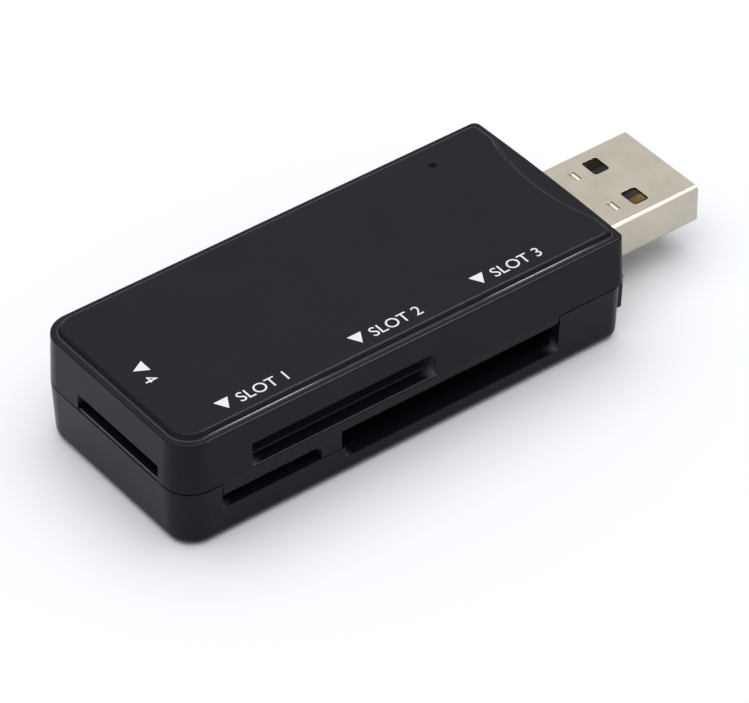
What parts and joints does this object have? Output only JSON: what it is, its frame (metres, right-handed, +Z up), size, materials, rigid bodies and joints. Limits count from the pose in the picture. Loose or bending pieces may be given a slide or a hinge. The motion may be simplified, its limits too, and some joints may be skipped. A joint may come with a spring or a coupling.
{
  "type": "usb memory card reader",
  "caption": "Slim black card reader with a USB plug at one end, card slots in the front and blind end, and a raised top plate with a hollow edge beside the plug.",
  "frame": {"origin": "middle of the bounding box seen from above, on the underside of the lower shell", "axes": "+X from the blind end towards the plug's tip, +Y from the slotted front wall to the plain back wall, +Z up from the underside to the top plate"},
  "size_m": [0.0692, 0.0244, 0.0133],
  "materials": {
    "housing_plastic": "fine satin texture",
    "plate_plastic": "fine satin texture with white print",
    "plug_steel": "nickel plate, satin",
    "contact_gold": "gold plate",
    "insulator_plastic": "moulded",
    "socket_plastic": "moulded",
    "cover_steel": "rolled sheet",
    "board_green": "solder mask",
    "chip_epoxy": "moulded epoxy",
    "tinned_lead": "tin plate",
    "crystal_can": "drawn can",
    "lamp_resin": "clear resin",
    "capacitor_ceramic": "fired",
    "resistor_ceramic": "fired"
  },
  "bodies": {
    "root": {"upper_shell": "housing_plastic", "lower_shell": "housing_plastic", "top_plate": "plate_plastic", "plug_shell": "plug_steel", "plug_insulator": "insulator_plastic", "plug_contacts": "contact_gold", "circuit_board": "board_green", "wide_socket": "socket_plastic", "wide_contacts": "contact_gold", "stick_socket": "socket_plastic", "stick_contacts": "contact_gold", "micro_socket": "socket_plastic", "micro_cover": "cover_steel", "micro_contacts": "contact_gold", "end_socket": "socket_plastic", "end_cover": "cover_steel", "end_contacts": "contact_gold", "controller_chip": "chip_epoxy", "controller_leads": "tinned_lead", "crystal": "crystal_can", "status_led": "lamp_resin", "power_switch": "chip_epoxy", "switch_leads": "tinned_lead", "capacitors": "capacitor_ceramic", "resistors": "resistor_ceramic"}
  },
  "joints": []
}
